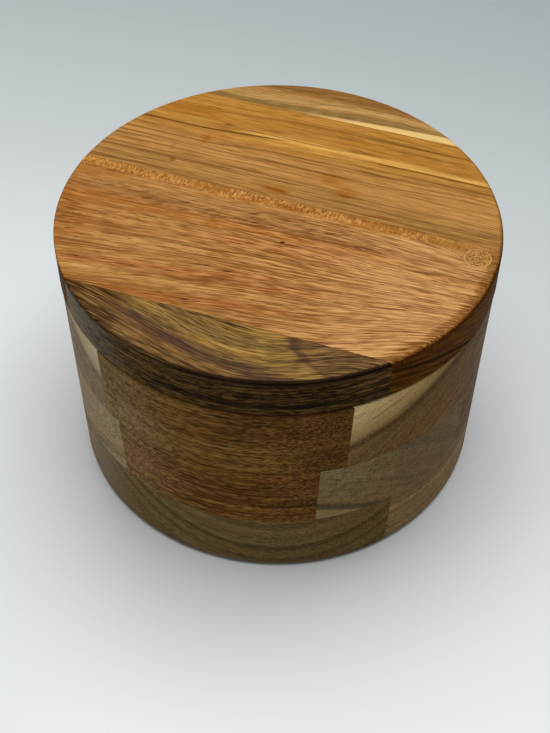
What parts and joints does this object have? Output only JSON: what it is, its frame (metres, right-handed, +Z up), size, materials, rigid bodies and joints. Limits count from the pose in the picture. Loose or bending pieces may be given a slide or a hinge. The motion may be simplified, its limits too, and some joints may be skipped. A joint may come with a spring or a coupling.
{
  "type": "round wooden salt box with a swivel lid",
  "caption": "Round turned wooden box for salt, glued up from striped strips of acacia-like wood, with a flat lid of the same width that swivels aside on a hidden pivot.",
  "frame": {"origin": "centre of the underside, where the box rests", "axes": "+Z up; +X from the centre towards the lid's pivot; -Y towards the dark lid strip, which the picture shows in front"},
  "size_m": [0.11, 0.11, 0.0726],
  "materials": {
    "base_front_strip": "oiled satin",
    "base_inner_front_strip": "oiled satin",
    "base_inner_back_strip": "oiled satin",
    "base_back_strip": "oiled satin",
    "middle_front_segment": "oiled satin",
    "middle_front_arc": "oiled satin",
    "middle_left_block": "oiled satin",
    "middle_right_block": "oiled satin",
    "middle_back_arc": "oiled satin",
    "rim_front_segment": "oiled satin",
    "rim_front_left_block": "oiled satin",
    "rim_front_right_block": "oiled satin",
    "rim_left_block": "oiled satin",
    "rim_right_block": "oiled satin",
    "rim_back_arc": "oiled satin",
    "lid_front_strip": "oiled satin",
    "lid_main_strip": "oiled satin",
    "lid_rear_strip": "oiled satin",
    "lid_back_strip": "oiled satin",
    "pivot_plug": "oiled satin",
    "zinc_steel": "zinc plated",
    "nickel_plate": "nickel plated"
  },
  "bodies": {
    "box": {"base_front_strip": "base_front_strip", "base_inner_front_strip": "base_inner_front_strip", "base_inner_back_strip": "base_inner_back_strip", "base_back_strip": "base_back_strip", "middle_front_segment": "middle_front_segment", "middle_front_arc": "middle_front_arc", "middle_left_block": "middle_left_block", "middle_right_block": "middle_right_block", "middle_back_arc": "middle_back_arc", "rim_front_segment": "rim_front_segment", "rim_front_left_block": "rim_front_left_block", "rim_front_right_block": "rim_front_right_block", "rim_left_block": "rim_left_block", "rim_right_block": "rim_right_block", "rim_back_arc": "rim_back_arc", "pivot_screw": "zinc_steel", "pivot_washer": "zinc_steel", "box_magnet": "nickel_plate"},
    "lid": {"lid_front_strip": "lid_front_strip", "lid_main_strip": "lid_main_strip", "lid_rear_strip": "lid_rear_strip", "lid_back_strip": "lid_back_strip", "pivot_plug": "pivot_plug", "lid_magnet": "nickel_plate"}
  },
  "joints": [
    {"name": "lid_swivel", "type": "hinge", "parent": "box", "child": "lid", "pos_m": [0.0496, 0, 0.0615], "axis": [0, 0, 1], "continuous": true}
  ]
}
